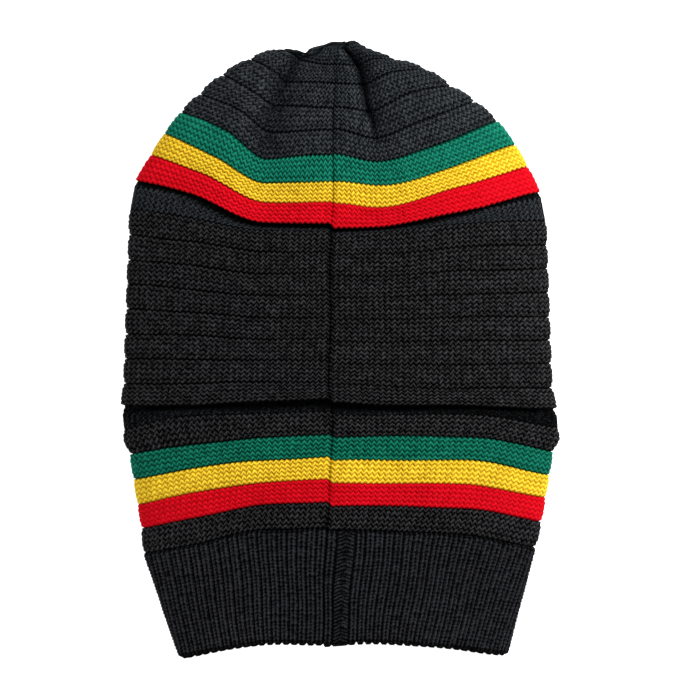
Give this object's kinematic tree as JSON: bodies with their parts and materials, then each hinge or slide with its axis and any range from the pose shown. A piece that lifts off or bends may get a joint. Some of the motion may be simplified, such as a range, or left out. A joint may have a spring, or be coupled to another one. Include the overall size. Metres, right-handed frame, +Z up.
{
  "type": "rasta tam",
  "caption": "Long slouchy knit hat lying flat, open at a ribbed cuff, with welted body, striped bands and a gathered crown.",
  "frame": {"origin": "on the surface that the hat lies on, under the middle of its outline", "axes": "+X to the right of the hat seen from above with the crown up, +Y from the hem to the crown, +Z up from the surface it lies on to the back seam"},
  "size_m": [0.2483, 0.3496, 0.0349],
  "materials": {
    "black_rib": "matte ribbed acrylic knit, black",
    "black_knit": "matte welted acrylic knit, black",
    "plain_knit": "matte plain acrylic knit, black",
    "crown_knit": "matte welted acrylic knit, black with a cool cast",
    "gathered_knit": "matte gathered acrylic knit, black with a cool cast",
    "red_knit": "matte welted acrylic knit, red",
    "gold_knit": "matte welted acrylic knit, golden yellow",
    "green_knit": "matte welted acrylic knit, deep green"
  },
  "bodies": {
    "root": {"rib_cuff": "black_rib", "cuff_welt": "black_knit", "lower_red_welt": "red_knit", "lower_gold_welt": "gold_knit", "lower_green_welt": "green_knit", "tuck_welt": "black_knit", "lower_recess": "plain_knit", "body_welt_1": "black_knit", "body_welt_2": "black_knit", "body_welt_3": "black_knit", "body_welt_4": "black_knit", "body_welt_5": "black_knit", "body_welt_6": "black_knit", "body_welt_7": "black_knit", "body_welt_8": "black_knit", "upper_recess": "plain_knit", "upper_red_welt": "red_knit", "upper_gold_welt": "gold_knit", "upper_green_welt": "green_knit", "crown_welt_1": "crown_knit", "crown_welt_2": "crown_knit", "crown_welt_3": "crown_knit", "crown_welt_4": "crown_knit", "crown_top": "gathered_knit"}
  },
  "joints": []
}
